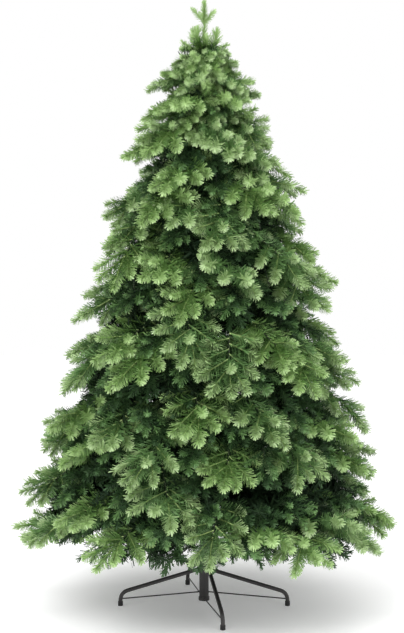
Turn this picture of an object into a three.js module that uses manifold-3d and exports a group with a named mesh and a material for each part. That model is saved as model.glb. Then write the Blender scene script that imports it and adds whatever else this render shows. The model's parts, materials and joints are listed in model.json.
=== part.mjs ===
// A full artificial fir tree, 2.29 m tall, on a folding steel stand with four legs.
// Units are millimetres, +Z is up, and the origin is on the floor under the pole.
// The front of the tree faces -Y. Three tubes telescope into the pole. Nine tiers of boughs
// hang on it, each bough with the sprays of needles that grow from it, and a leader tops it.

import * as THREE from "three";
import Module from "manifold-3d";

const wasm = await Module();
wasm.setup();
const { Manifold, Mesh: SolidMesh } = wasm;

// The crown's outline: a cone with a swelling side over a skirt that tucks in below
const HEIGHT = 2286;
const APEX_HEIGHT = 2300;
const CONE_DEPTH = 2000;
const SPREAD_RADIUS = 746;
const WIDEST_HEIGHT = 270;
const OUTLINE_POWER = 0.75;
const SKIRT_SLOPE = 1.9;
const REACH_PASSES = 12;

// Tiers: boughs in each, and the heights on the pole between which the tiers lie
const BOUGHS_PER_TIER = [6, 6, 5, 5, 5, 4, 3, 3, 3];
const CROWN_FOOT = 305;
const LOWEST_TIER_DEPTH = 228;
const TOP_TIER_DEPTH = 165;
const FIRST_TURN = THREE.MathUtils.degToRad(10);
const TIER_TURN = THREE.MathUtils.degToRad(157.5);

// How boughs rise from the pole and droop towards their tips, from the foot to the top
const RISE_AT_FOOT = 0.22;
const RISE_LINEAR = 0.25;
const RISE_CUBIC = 0.5;
const DROOP_AT_FOOT = 0.5 / 1000;
const DROOP_LOST = 0.15 / 1000;

// Sprays: a flattened rosette of pointed fingers round a middle one, on a stalk.
// Shares are of the spray's length, and openings are slopes away from its axis.
const SPRAY_LENGTH = 160;
const SPRAY_SHARE = 0.44;
const FINGERS = 5;
const RIM = 2 * FINGERS;
const RIM_START = 0.1 * Math.PI;
const FINGERS_WIDE = 0.85;
const FINGERS_HIGH = 0.55;
const FINGER_DROOP = 0.12;
const FINGER_SHARE = 1.1;
const NOTCH_SHARE = 0.55;
const NOTCH_OPENING = 0.72;
const STALK_SIDES = 3;
const STALK_RADIUS = 4;
const HUB_RADIUS = 8;
const HUB_START = 0.4 * Math.PI;

// The rule that deals out a bough's sprays, in rows by level and columns by turn
const SEED = 7;
const LEVELS = [0.46, -0.44];
const SPRAY_SPACING = 1.16;
const COLUMN_JITTER = 0.16;
const SHORTFALL = 0.18;
const ROLL_SPAN = 0.6;
const ROOT_SINK = 34;
const ROOT_TURN = 0.96;
const ROOT_LEVEL = 0.7;
const ROOT_LIFT = 0.14;
const SIZES_TRIED = [1, 0.88, 0.76, 0.64];
const SPREADS_TRIED = [1, 0.8, 0.6];
const SPACE_MARGIN = 1;

// Boughs: a stem, and the dense inside that its sprays stand out of
const CORE_INSET = 0.85;
const CORE_GAP = 3;
const STEM_SIDES = 3;
const STEM_STUB = 8;
const STEM_SHARES = [0, 0.3, 0.6, 0.9];
const STEM_RADII = [9, 9, 7.5, 6, 3.5];
const CORE_RINGS = [
  { out: 0.08, turn: 0.8, level: 0.8 },
  { out: 0.55, turn: 1, level: 0.97 },
  { out: 1, turn: 0.9, level: 0.84 },
];

// Leader: a slim shoot with two whorls of upright brushes
const LEADER_SEED = 77;
const LEADER_SIDES = 6;
const LEADER_THICKNESS = 17;
const NECK_SINK = 22;
const SHOOT_SHARES = [0, 0.3, 0.75, 1];
const SHOOT_TAPER = [0.25, 1, 0.85, 0.1];
const SHOOT_STEP = 6;
const SHOOT_SWAY = 0.3;
const SHOOT_STRETCH = 0.24;
const LEADER_WHORLS = [
  { height: 2112, shoots: 5, out: 60, rise: 84, thickness: 34, turn: 0.1 },
  { height: 2190, shoots: 3, out: 50, rise: 55, thickness: 15, turn: 0.5 },
];

// Pole: three tubes and a rod, each standing on the ledge inside the one below it
const POLE_LOWER_RADIUS = 16;
const POLE_MIDDLE_RADIUS = 14.2;
const POLE_UPPER_RADIUS = 12.4;
const POLE_ROD_RADIUS = 5;
const POLE_WALL = 1.5;
const POLE_LEDGE = 1.2;
const POLE_LOWER_TOP = 860;
const POLE_MIDDLE_TOP = 1500;
const POLE_UPPER_TOP = 1880;
const POLE_ROD_TOP = 2080;
const POLE_OVERLAP = 80;
const POLE_SIDES = 20;
const CLEARANCE = 0.3;
const FINEST_DETAIL = 0.3;

// Stand: a socket with a fixed pair of legs, and a pair that folds round it on two rings
const SOCKET_RADIUS = 18;
const SOCKET_FOOT = 22;
const SOCKET_FLOOR = 3;
const SOCKET_TOP = 214;
const RING_RADIUS = 20.8;
const RING_DEPTH = 14;
const UPPER_RING_FOOT = 180;
const LOWER_RING_FOOT = 22;
const LEG_REACH = 316;
const LEG_RADIUS = 7.5;
const LEG_SIDES = 12;
const KNEE_HEIGHT = 50;
const KNEE_LENGTH = 30;
const KNEE_STEPS = 4;
const BRACE_RADIUS = 2.5;
const BRACE_SIDES = 8;
const BRACE_INSET = 0.1;
const FOOT_RADIUS = 9.6;
const FOOT_HEIGHT = 18;
const FOOT_SOLE = 4;
const FOOT_ROUNDING = 1.5;
const FIXED_PAIR = { legHeight: 138, braceHeight: 53, braceFoot: 27, hub: SOCKET_RADIUS };
const FOLDING_PAIR = { legHeight: 187, braceHeight: 29, braceFoot: 34, hub: RING_RADIUS };
const FOLDING_TURN = THREE.MathUtils.degToRad(12);

const NEEDLE_GREENS = ["#4c7d31", "#568a37", "#5f943e"];
const POLE_GREEN = new THREE.MeshStandardMaterial({ color: "#23402a", roughness: 0.5, metalness: 0.2 });
const STAND_BLACK = new THREE.MeshStandardMaterial({ color: "#2b2a2b", roughness: 0.4, metalness: 0.5 });
const CAP_BLACK = new THREE.MeshStandardMaterial({ color: "#141414", roughness: 0.6, metalness: 0 });

// A seeded draw of numbers from 0 to 1, the same on every run
function drawFrom(seed) {
  let state = seed >>> 0;
  return () => {
    state = (Math.imul(state, 1664525) + 1013904223) >>> 0;
    return state / 4294967296;
  };
}

// A solid from its corners and triangles
function solidFrom(points, faces) {
  const vertProperties = new Float32Array(points.flatMap((p) => [p.x, p.y, p.z]));
  const triVerts = new Uint32Array(faces.flat());
  return new Manifold(new SolidMesh({ numProp: 3, vertProperties, triVerts }));
}

function geometryOf(solid) {
  const { numProp, numVert, vertProperties, triVerts } = solid.getMesh();
  const positions = new Float32Array(numVert * 3);
  for (let i = 0; i < numVert; i++) {
    positions.set(vertProperties.subarray(i * numProp, i * numProp + 3), i * 3);
  }
  const geometry = new THREE.BufferGeometry();
  geometry.setAttribute("position", new THREE.BufferAttribute(positions, 3));
  geometry.setIndex(new THREE.BufferAttribute(triVerts, 1));
  geometry.computeVertexNormals();
  return geometry;
}

// Fuses solids into one closed body: a hollow that the join seals is filled
function fuse(solids) {
  const bodies = Manifold.union(solids).simplify(FINEST_DETAIL).decompose();
  bodies.sort((a, b) => b.volume() - a.volume());
  return bodies[0];
}

function meshOf(name, geometry, material) {
  const mesh = new THREE.Mesh(geometry, material);
  mesh.name = name;
  return mesh;
}

// A ring-shaped or full body turned round +Z from [radius, height] points
function turned(profile, sides) {
  const points = profile.map(([radius, height]) => new THREE.Vector2(radius, height));
  return new THREE.LatheGeometry(points, sides).rotateX(Math.PI / 2);
}

// The faces of a closed body whose corners come ring by ring, with both ends filled
function ringFaces(count, sides, isEndOpen = false) {
  const last = count - sides;
  const faces = [];
  for (let k = 1; k + 1 < sides; k++) {
    faces.push([0, k + 1, k]);
    if (!isEndOpen) faces.push([last, last + k, last + k + 1]);
  }
  for (let i = 0; i < last; i += sides) {
    for (let k = 0; k < sides; k++) {
      const next = (k + 1) % sides;
      faces.push([i + k, i + next, i + sides + next], [i + k, i + sides + next, i + sides + k]);
    }
  }
  return faces;
}

// A closed rod or limb through points, with its thickness at each
function swept(points, radii, sides) {
  const corners = [];
  points.forEach((point, i) => {
    const ahead = points[Math.min(i + 1, points.length - 1)].clone().sub(point).normalize();
    const behind = point.clone().sub(points[Math.max(i - 1, 0)]).normalize();
    const along = ahead.clone().add(behind).normalize();
    const level = Math.abs(along.z) > 0.9 ? new THREE.Vector3(0, 1, 0) : new THREE.Vector3(0, 0, 1);
    const side = level.cross(along).normalize();
    const up = along.clone().cross(side);
    for (let k = 0; k < sides; k++) {
      const angle = Math.PI / 2 + (k * 2 * Math.PI) / sides;
      const corner = point.clone();
      corner.addScaledVector(side, radii[i] * Math.cos(angle));
      corner.addScaledVector(up, radii[i] * Math.sin(angle));
      corners.push(corner);
    }
  });
  return solidFrom(corners, ringFaces(corners.length, sides));
}

// The crown's outline: its radius at a height
function outlineRadius(height) {
  const share = Math.max(0, (APEX_HEIGHT - height) / CONE_DEPTH);
  const cone = SPREAD_RADIUS * share ** OUTLINE_POWER;
  const skirt = SPREAD_RADIUS - SKIRT_SLOPE * (WIDEST_HEIGHT - height);
  return Math.max(0, Math.min(cone, skirt));
}

// The curved surface that boughs from one height on the pole follow outwards
function boughHeight(foot, radius) {
  const share = (foot - CROWN_FOOT) / (CROWN_TOP - CROWN_FOOT);
  const rise = RISE_AT_FOOT + RISE_LINEAR * share + RISE_CUBIC * share ** 3;
  const droop = DROOP_AT_FOOT - DROOP_LOST * share;
  return foot + rise * radius - droop * radius ** 2;
}

const TIERS = BOUGHS_PER_TIER.length;
const TIER_EDGES = [CROWN_FOOT];
for (let tier = 0; tier < TIERS; tier++) {
  const depth = LOWEST_TIER_DEPTH + ((TOP_TIER_DEPTH - LOWEST_TIER_DEPTH) * tier) / (TIERS - 1);
  TIER_EDGES.push(TIER_EDGES[tier] + depth);
}
const CROWN_TOP = TIER_EDGES[TIERS];

function poleRadiusAt(height) {
  if (height < POLE_LOWER_TOP) return POLE_LOWER_RADIUS;
  if (height < POLE_MIDDLE_TOP) return POLE_MIDDLE_RADIUS;
  return height < POLE_UPPER_TOP ? POLE_UPPER_RADIUS : POLE_ROD_RADIUS;
}

// The space that one bough's mass keeps to: a sector of its tier, with the bough along +X
class BoughSpace {
  constructor(tier) {
    this.low = TIER_EDGES[tier];
    this.high = TIER_EDGES[tier + 1];
    this.middle = (this.low + this.high) / 2;
    this.halfTurn = Math.PI / BOUGHS_PER_TIER[tier];
    this.poleClear = poleRadiusAt(this.low) + CLEARANCE;
    this.sprayLength = Math.min(SPRAY_LENGTH, SPRAY_SHARE * this.reach(0));
    this.coreReach = this.reach(0) - CORE_INSET * this.sprayLength;
  }

  // A place by radius, turn from the bough and level, from -1 at the space's floor to 1
  at(radius, turn, level) {
    const foot = this.middle + (level * (this.high - this.low)) / 2;
    const height = boughHeight(foot, radius);
    return new THREE.Vector3(radius * Math.cos(turn), radius * Math.sin(turn), height);
  }

  // How far out the crown's outline lies at a level
  reach(level) {
    let radius = SPREAD_RADIUS / 2;
    for (let pass = 0; pass < REACH_PASSES; pass++) {
      radius = (radius + outlineRadius(this.at(radius, 0, level).z)) / 2;
    }
    return radius;
  }

  // Whether a point keeps to the space, clear of its sides, the pole and the tiers next to it
  holds(point) {
    const radius = Math.hypot(point.x, point.y);
    const turn = Math.abs(Math.atan2(point.y, point.x));
    const fromSide = radius * Math.sin(Math.min(this.halfTurn - turn, Math.PI / 2));
    return (
      turn < this.halfTurn &&
      fromSide > SPACE_MARGIN &&
      radius > this.poleClear + SPACE_MARGIN &&
      point.z > boughHeight(this.low, radius) + SPACE_MARGIN &&
      point.z < boughHeight(this.high, radius) - SPACE_MARGIN
    );
  }
}

// A spray: a stalk sunk in the bough, and fingers and notches spread round its axis
function sprayPoints({ root, tip, roll, spread }) {
  const forward = tip.clone().sub(root);
  const length = forward.length() - ROOT_SINK;
  forward.normalize();
  const side = new THREE.Vector3(0, 0, 1).cross(forward).normalize().applyAxisAngle(forward, roll);
  const up = forward.clone().cross(side);
  const beside = (place, wide, high) =>
    place.clone().addScaledVector(side, wide).addScaledVector(up, high);
  const base = root.clone().addScaledVector(forward, ROOT_SINK);
  const points = [];
  const stalkEnds = [
    [root, STALK_RADIUS],
    [base, HUB_RADIUS],
  ];
  for (const [place, radius] of stalkEnds) {
    for (let k = 0; k < STALK_SIDES; k++) {
      const angle = HUB_START + (k * 2 * Math.PI) / STALK_SIDES;
      points.push(beside(place, radius * Math.cos(angle), radius * Math.sin(angle)));
    }
  }
  for (let i = 0; i < RIM; i++) {
    const isFinger = i % 2 === 0;
    const angle = RIM_START + (i * Math.PI) / FINGERS;
    const opening = spread * (isFinger ? 1 : NOTCH_OPENING);
    const share = isFinger ? FINGER_SHARE : NOTCH_SHARE;
    const wide = opening * FINGERS_WIDE * Math.cos(angle);
    const high = opening * FINGERS_HIGH * Math.sin(angle);
    const point = beside(forward, wide, high).setLength(share * length).add(base);
    point.z -= FINGER_DROOP * share ** 2 * length;
    points.push(point);
  }
  points.push(base.clone().addScaledVector(forward, length));
  return points;
}

// Its faces: the stalk, then the rim joined back to the stalk's hub and forward to the middle
function spraySolid(points) {
  const faces = ringFaces(2 * STALK_SIDES, STALK_SIDES, true);
  const middle = points.length - 1;
  const hubOf = (i) => STALK_SIDES + Math.floor(((i % RIM) * STALK_SIDES) / RIM);
  for (let i = 0; i < RIM; i++) {
    const here = 2 * STALK_SIDES + i;
    const next = 2 * STALK_SIDES + ((i + 1) % RIM);
    faces.push([hubOf(i), next, here], [middle, here, next]);
    if (hubOf(i + 1) !== hubOf(i)) faces.push([hubOf(i), hubOf(i + 1), next]);
  }
  return solidFrom(points, faces);
}

// The dense inside of a bough, that its sprays stand out of
function coreSolid(space) {
  const around = [
    [0, 1],
    [-1, 1],
    [-1, -1],
    [0, -1],
    [1, -1],
    [1, 1],
  ];
  const points = CORE_RINGS.flatMap(({ out, turn, level }) => {
    const radius = space.poleClear + out * (space.coreReach - space.poleClear);
    const halfTurn = Math.min(turn * space.halfTurn, space.halfTurn - CORE_GAP / radius);
    return around.map(([left, above]) => space.at(radius, left * halfTurn, above * level));
  });
  return solidFrom(points, ringFaces(points.length, around.length));
}

// The stem leaves the pole level, then follows the middle of its space
function stemSolid(space) {
  const length = space.coreReach - space.poleClear;
  const points = STEM_SHARES.map((share) => space.at(space.poleClear + share * length, 0, 0));
  const start = points[0].clone();
  points[0].x += STEM_STUB;
  return swept([start, ...points], STEM_RADII, STEM_SIDES);
}

// The rule for a bough's sprays: how far out each ends, at what turn and level, and its roll
function spraysOf(tier, bough, space) {
  const draw = drawFrom(1000 * (tier + 1) + 10 * bough + SEED);
  const arc = 2 * space.halfTurn * space.reach(0);
  const columns = Math.round(arc / (SPRAY_SPACING * space.sprayLength));
  const sprays = [];
  for (const level of LEVELS) {
    for (let column = 0; column < columns; column++) {
      const across = (2 * (column + 0.5 + COLUMN_JITTER * (draw() - 0.5))) / columns - 1;
      const out = space.reach(level) - SHORTFALL * space.sprayLength * draw();
      const roll = ROLL_SPAN * (draw() - 0.5);
      sprays.push({ level, turn: across * space.halfTurn, out, roll });
    }
  }
  return sprays;
}

// A spray at the first size and spread that keep to the space, or nothing where none does
function placeSpray(space, { level, turn, out, roll }) {
  const rootOut = space.coreReach - ROOT_SINK;
  const root = space.at(rootOut, ROOT_TURN * turn, ROOT_LIFT + ROOT_LEVEL * level);
  const end = space.at(out, turn, level);
  for (const size of SIZES_TRIED) {
    for (const spread of SPREADS_TRIED) {
      const points = sprayPoints({ root, tip: root.clone().lerp(end, size), roll, spread });
      if (points.every((point) => space.holds(point))) return [spraySolid(points)];
    }
  }
  return [];
}

function boughSolid(tier, bough) {
  const space = new BoughSpace(tier);
  const sprays = spraysOf(tier, bough, space).flatMap((spray) => placeSpray(space, spray));
  return fuse([stemSolid(space), coreSolid(space), ...sprays]);
}

// An upright brush of needles, thickest below its tip
function shootSolid(root, tip, thickness) {
  const path = SHOOT_SHARES.map((share) => root.clone().lerp(tip, share));
  const radii = SHOOT_TAPER.map((share) => (share * thickness) / 2);
  return swept(path, radii, LEADER_SIDES);
}

// The leader: a stem that ends in one shoot, with whorls of shoots round it
function leaderSolid() {
  const draw = drawFrom(LEADER_SEED);
  const foot = new THREE.Vector3(0, 0, POLE_ROD_TOP + CLEARANCE);
  const neck = new THREE.Vector3(0, 0, LEADER_WHORLS.at(-1).height);
  const topShootRoot = new THREE.Vector3(0, 0, neck.z - NECK_SINK);
  const parts = [
    swept([foot, neck], [POLE_ROD_RADIUS, POLE_ROD_RADIUS / 2], LEADER_SIDES),
    shootSolid(topShootRoot, new THREE.Vector3(0, 0, HEIGHT), LEADER_THICKNESS),
  ];
  for (const { height, shoots, out, rise, thickness, turn } of LEADER_WHORLS) {
    for (let i = 0; i < shoots; i++) {
      const angle = turn + ((i + SHOOT_SWAY * (draw() - 0.5)) * 2 * Math.PI) / shoots;
      const stretch = 1 + SHOOT_STRETCH * (draw() - 0.5);
      const root = new THREE.Vector3(0, 0, height + SHOOT_STEP * i);
      const tip = new THREE.Vector3(out * Math.cos(angle), out * Math.sin(angle), rise);
      parts.push(shootSolid(root, tip.multiplyScalar(stretch).add(root), thickness));
    }
  }
  return fuse(parts);
}

function greenOf(tier) {
  const color = NEEDLE_GREENS[tier % NEEDLE_GREENS.length];
  return new THREE.MeshStandardMaterial({ color, roughness: 0.8, metalness: 0 });
}

const tree = new THREE.Group();

// Pole: each tube has a wider bore at its top, down to the ledge that the next one stands on
function poleTube(outer, foot, top) {
  const bore = outer - POLE_WALL;
  const ledge = bore - POLE_LEDGE;
  const seat = top - POLE_OVERLAP;
  const profile = [
    [ledge, foot],
    [outer, foot],
    [outer, top],
    [bore, top],
    [bore, seat],
    [ledge, seat],
    [ledge, foot],
  ];
  return turned(profile, POLE_SIDES);
}

const lowerFoot = SOCKET_FOOT + SOCKET_FLOOR + CLEARANCE;
const middleFoot = POLE_LOWER_TOP - POLE_OVERLAP + CLEARANCE;
const upperFoot = POLE_MIDDLE_TOP - POLE_OVERLAP + CLEARANCE;
const rodFoot = POLE_UPPER_TOP - POLE_OVERLAP + CLEARANCE;
tree.add(
  meshOf("pole_lower", poleTube(POLE_LOWER_RADIUS, lowerFoot, POLE_LOWER_TOP), POLE_GREEN),
  meshOf("pole_middle", poleTube(POLE_MIDDLE_RADIUS, middleFoot, POLE_MIDDLE_TOP), POLE_GREEN),
  meshOf("pole_upper", poleTube(POLE_UPPER_RADIUS, upperFoot, POLE_UPPER_TOP), POLE_GREEN),
);

// The rod fills the upper tube's bore where it stands in it
const rodPlug = POLE_UPPER_RADIUS - POLE_WALL - CLEARANCE;
const rodProfile = [
  [0, rodFoot],
  [rodPlug, rodFoot],
  [rodPlug, POLE_UPPER_TOP - CLEARANCE],
  [POLE_ROD_RADIUS, POLE_UPPER_TOP + 2 * POLE_ROD_RADIUS],
  [POLE_ROD_RADIUS, POLE_ROD_TOP],
  [0, POLE_ROD_TOP],
];
tree.add(meshOf("pole_rod", turned(rodProfile, POLE_SIDES), POLE_GREEN));

// Stand
const socketBore = POLE_LOWER_RADIUS + CLEARANCE;
const socketProfile = [
  [0, SOCKET_FOOT],
  [SOCKET_RADIUS, SOCKET_FOOT],
  [SOCKET_RADIUS, SOCKET_TOP],
  [socketBore, SOCKET_TOP],
  [socketBore, SOCKET_FOOT + SOCKET_FLOOR],
  [0, SOCKET_FOOT + SOCKET_FLOOR],
];
tree.add(meshOf("stand_socket", turned(socketProfile, POLE_SIDES), STAND_BLACK));

function ringGeometry(foot) {
  const bore = SOCKET_RADIUS + CLEARANCE;
  const profile = [
    [bore, foot],
    [RING_RADIUS, foot],
    [RING_RADIUS, foot + RING_DEPTH],
    [bore, foot + RING_DEPTH],
    [bore, foot],
  ];
  return turned(profile, POLE_SIDES);
}

tree.add(
  meshOf("stand_ring_upper", ringGeometry(UPPER_RING_FOOT), STAND_BLACK),
  meshOf("stand_ring_lower", ringGeometry(LOWER_RING_FOOT), STAND_BLACK),
);

// A leg slopes down and out from its hub, bends at the knee and drops straight into its foot
function legSolid({ legHeight, hub }, radius) {
  const knee = new THREE.Vector3(LEG_REACH, 0, KNEE_HEIGHT);
  const start = new THREE.Vector3(hub + CLEARANCE, 0, legHeight);
  const stub = new THREE.Vector3(hub + LEG_RADIUS, 0, legHeight);
  const slope = knee.clone().sub(stub).normalize();
  const bendStart = knee.clone().addScaledVector(slope, -KNEE_LENGTH);
  const bendEnd = new THREE.Vector3(LEG_REACH, 0, KNEE_HEIGHT - KNEE_LENGTH);
  const bend = new THREE.QuadraticBezierCurve3(bendStart, knee, bendEnd);
  const end = new THREE.Vector3(LEG_REACH, 0, FOOT_SOLE + CLEARANCE);
  const path = [start, stub, ...bend.getPoints(KNEE_STEPS), end];
  return swept(path, path.map(() => radius), LEG_SIDES);
}

// A brace ties the lower end of a leg back to the hub, and is cut to fit round the leg
function braceSolid(pair) {
  const inner = new THREE.Vector3(pair.hub + CLEARANCE + BRACE_INSET, 0, pair.braceHeight);
  const outer = new THREE.Vector3(LEG_REACH, 0, pair.braceFoot);
  const rod = swept([inner, outer], [BRACE_RADIUS, BRACE_RADIUS], BRACE_SIDES);
  return rod.subtract(legSolid(pair, LEG_RADIUS + CLEARANCE));
}

function footGeometry() {
  const bore = LEG_RADIUS + CLEARANCE;
  const profile = [
    [0, 0],
    [FOOT_RADIUS - FOOT_ROUNDING, 0],
    [FOOT_RADIUS, FOOT_ROUNDING],
    [FOOT_RADIUS, FOOT_HEIGHT],
    [bore, FOOT_HEIGHT],
    [bore, FOOT_SOLE],
    [0, FOOT_SOLE],
  ];
  return turned(profile, POLE_SIDES).translate(LEG_REACH, 0, 0);
}

const legs = [
  { name: "right", turn: 0, pair: FIXED_PAIR },
  { name: "left", turn: Math.PI, pair: FIXED_PAIR },
  { name: "front", turn: FOLDING_TURN - Math.PI / 2, pair: FOLDING_PAIR },
  { name: "back", turn: FOLDING_TURN + Math.PI / 2, pair: FOLDING_PAIR },
];
for (const { name, turn, pair } of legs) {
  const leg = geometryOf(legSolid(pair, LEG_RADIUS)).rotateZ(turn);
  const brace = geometryOf(braceSolid(pair)).rotateZ(turn);
  const foot = footGeometry().rotateZ(turn);
  tree.add(
    meshOf("stand_leg_" + name, leg, STAND_BLACK),
    meshOf("stand_brace_" + name, brace, STAND_BLACK),
    meshOf("stand_foot_" + name, foot, CAP_BLACK),
  );
}

// Boughs
for (let tier = 0; tier < TIERS; tier++) {
  const boughs = BOUGHS_PER_TIER[tier];
  for (let bough = 0; bough < boughs; bough++) {
    const turn = FIRST_TURN + tier * TIER_TURN + (bough * 2 * Math.PI) / boughs;
    const mass = geometryOf(boughSolid(tier, bough)).rotateZ(turn);
    tree.add(meshOf(`mass_${tier + 1}_${bough + 1}`, mass, greenOf(tier)));
  }
}

tree.add(meshOf("leader", geometryOf(leaderSolid()), greenOf(TIERS)));

export default tree;
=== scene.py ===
# %% [markdown]
# An artificial fir on a folding stand
#
# This lesson dresses the plain solids of a 2.29 m artificial tree. The solids give the pole,
# the stand and forty wedge-shaped masses. Here each mass gives way to wire boughs, twigs and
# moulded tips that grow by the same rule, only finer. We work in metres, with +Z up.

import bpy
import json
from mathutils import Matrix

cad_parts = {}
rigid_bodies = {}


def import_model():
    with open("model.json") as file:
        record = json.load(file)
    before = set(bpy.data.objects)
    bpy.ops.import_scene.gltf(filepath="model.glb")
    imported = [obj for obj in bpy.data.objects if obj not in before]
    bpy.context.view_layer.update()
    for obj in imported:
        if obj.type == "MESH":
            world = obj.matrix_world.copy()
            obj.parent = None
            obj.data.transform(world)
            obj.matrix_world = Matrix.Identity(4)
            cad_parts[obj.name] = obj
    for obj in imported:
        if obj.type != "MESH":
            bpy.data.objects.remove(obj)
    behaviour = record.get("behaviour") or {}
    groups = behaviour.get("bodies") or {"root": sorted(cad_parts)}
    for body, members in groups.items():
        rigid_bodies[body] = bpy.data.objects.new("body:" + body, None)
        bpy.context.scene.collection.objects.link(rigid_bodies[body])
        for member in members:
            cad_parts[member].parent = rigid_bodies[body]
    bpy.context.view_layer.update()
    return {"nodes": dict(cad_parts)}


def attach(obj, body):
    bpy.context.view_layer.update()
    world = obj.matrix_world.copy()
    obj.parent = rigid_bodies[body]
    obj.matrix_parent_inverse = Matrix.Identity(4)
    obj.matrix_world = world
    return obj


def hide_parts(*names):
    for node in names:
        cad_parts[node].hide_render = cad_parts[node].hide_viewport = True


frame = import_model()

# %% [markdown]
# The camera stands a little over four metres away at chest height, as for a catalogue
# picture, and looks very slightly down. The long side of the picture is its height, so the
# lens is worked out from the angle that the height fills.

# %% Camera
import math

import bpy
import numpy as np
from mathutils import Matrix, Quaternion, Vector

FRAME_HEIGHT_PX = 633
FOCAL_PX = 1157
LONG_SIDE_MM = 36.0
CAMERA_PLACE = (-0.0075, -4.35, 1.21)
CAMERA_DIP_DEGREES = 1.515

camera_data = bpy.data.cameras.new("studio_camera")
camera_data.sensor_width = LONG_SIDE_MM
camera_data.lens = FOCAL_PX / FRAME_HEIGHT_PX * LONG_SIDE_MM
camera = bpy.data.objects.new("studio_camera", camera_data)
camera.location = CAMERA_PLACE
camera.rotation_euler = (math.radians(90 - CAMERA_DIP_DEGREES), 0, 0)
bpy.context.scene.collection.objects.link(camera)
bpy.context.scene.camera = camera
print("lens:", round(camera_data.lens, 1), "mm")

# %% [markdown]
# A white room gives the soft even light of a product picture. Light that reaches the tree
# from all sides makes the inside of the crown dark by itself, because the needles there
# shade each other. A broad lamp above the front adds direction.

# %% Room and lamps
ROOM_LIGHT = 0.62
TREE_MIDDLE = Vector((0, 0, 1.1))

world = bpy.data.worlds.new("white_room")
bpy.context.scene.world = world
world.use_nodes = True
room = world.node_tree
background = room.nodes["Background"]
background.inputs["Color"].default_value = (1, 1, 1, 1)
# The room lights the tree softly, but shows as plain white behind it
seen = room.nodes.new("ShaderNodeLightPath")
strength = room.nodes.new("ShaderNodeMapRange")
strength.inputs["To Min"].default_value = ROOM_LIGHT
room.links.new(seen.outputs["Is Camera Ray"], strength.inputs["Value"])
room.links.new(strength.outputs["Result"], background.inputs["Strength"])


def add_lamp(name, kind, place, **settings):
    """A lamp that faces the middle of the tree."""
    data = bpy.data.lights.new(name, kind)
    for key, value in settings.items():
        setattr(data, key, value)
    lamp = bpy.data.objects.new(name, data)
    lamp.location = place
    lamp.rotation_euler = (TREE_MIDDLE - Vector(place)).to_track_quat("-Z", "Y").to_euler()
    bpy.context.scene.collection.objects.link(lamp)


add_lamp("key_softbox", "AREA", (-1.6, -3.4, 3.9), size=2.4, energy=130)
add_lamp("fill_softbox", "AREA", (2.6, -3.0, 2.2), size=2.0, energy=45)
add_lamp("overhead", "SUN", (-0.4, -1.5, 6.0), energy=1.4, angle=math.radians(80))
bpy.context.scene.view_settings.view_transform = "Standard"

# %% [markdown]
# Everything that repeats is made by a few geometry trees. These helpers keep the trees
# short to read: one places a node and sets or links its inputs, one does arithmetic, and
# one runs a finished tree and hands back the plain mesh that it made.


# %% Helpers for node trees
def put(tree, kind, inputs=(), **settings):
    """Adds a node. Each input, by name or number, gets a value or a link from a socket."""
    node = tree.nodes.new(kind)
    for key, value in settings.items():
        setattr(node, key, value)
    for key, value in dict(inputs).items():
        if isinstance(value, bpy.types.NodeSocket):
            tree.links.new(value, node.inputs[key])
        else:
            node.inputs[key].default_value = value
    return node


def result(node):
    """The output that the node's settings leave in use."""
    return next(socket for socket in node.outputs if socket.enabled)


def maths(tree, operation, *values):
    return result(put(tree, "ShaderNodeMath", enumerate(values), operation=operation))


def new_tree(name, sizes):
    """A geometry tree with a named input for each size, and its end."""
    tree = bpy.data.node_groups.new(name, "GeometryNodeTree")
    face = tree.interface
    face.new_socket("Geometry", in_out="INPUT", socket_type="NodeSocketGeometry")
    for label, kind in sizes.items():
        face.new_socket(label, in_out="INPUT", socket_type="NodeSocket" + kind)
    face.new_socket("Geometry", in_out="OUTPUT", socket_type="NodeSocketGeometry")
    return tree, put(tree, "NodeGroupInput").outputs


def end_tree(tree, geometry, material):
    """Makes instances real, gives them their material, and closes the tree."""
    real = put(tree, "GeometryNodeRealizeInstances", {"Geometry": geometry})
    painted = put(tree, "GeometryNodeSetMaterial", {"Geometry": result(real), "Material": material})
    put(tree, "NodeGroupOutput", {"Geometry": result(painted)})


def grow(name, mesh, tree, **sizes):
    """The plain object that a geometry tree makes from a mesh, with sizes set by socket."""
    carrier = bpy.data.objects.new(name + "_carrier", mesh)
    bpy.context.scene.collection.objects.link(carrier)
    modifier = carrier.modifiers.new("grow", "NODES")
    modifier.node_group = tree
    for item in tree.interface.items_tree:
        key = item.name.lower().replace(" ", "_")
        if item.in_out == "INPUT" and key in sizes:
            modifier[item.identifier] = sizes[key]
    graph = bpy.context.evaluated_depsgraph_get()
    made = bpy.data.meshes.new_from_object(carrier.evaluated_get(graph), depsgraph=graph)
    made.name = name
    for attribute in [a for a in made.attributes if a.name in ("turn", "size", "kind", "thick")]:
        made.attributes.remove(attribute)
    bpy.data.objects.remove(carrier)
    return bpy.data.objects.new(name, made)


# %% [markdown]
# Finishes. A moulded tip is soft green plastic, lighter where it is new at the tip of the
# twig. A group that several finishes share gives a slow drift of colour, and a second one
# the fine pebbled skin of powder coating. Colours that have a place, such as the light
# ends and the painted shade of tips deep in the crown, are separate finishes on separate
# pieces.

# %% Shared finish groups
PATCH_SCALE = 40.0
PATCH_SWING = 0.25
PATCH_MEAN = 0.12


def new_finish_group(name, inputs, outputs):
    group = bpy.data.node_groups.new(name, "ShaderNodeTree")
    for label, kind in inputs.items():
        group.interface.new_socket(label, in_out="INPUT", socket_type="NodeSocket" + kind)
    for label, kind in outputs.items():
        group.interface.new_socket(label, in_out="OUTPUT", socket_type="NodeSocket" + kind)
    return group, put(group, "NodeGroupInput").outputs


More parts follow.
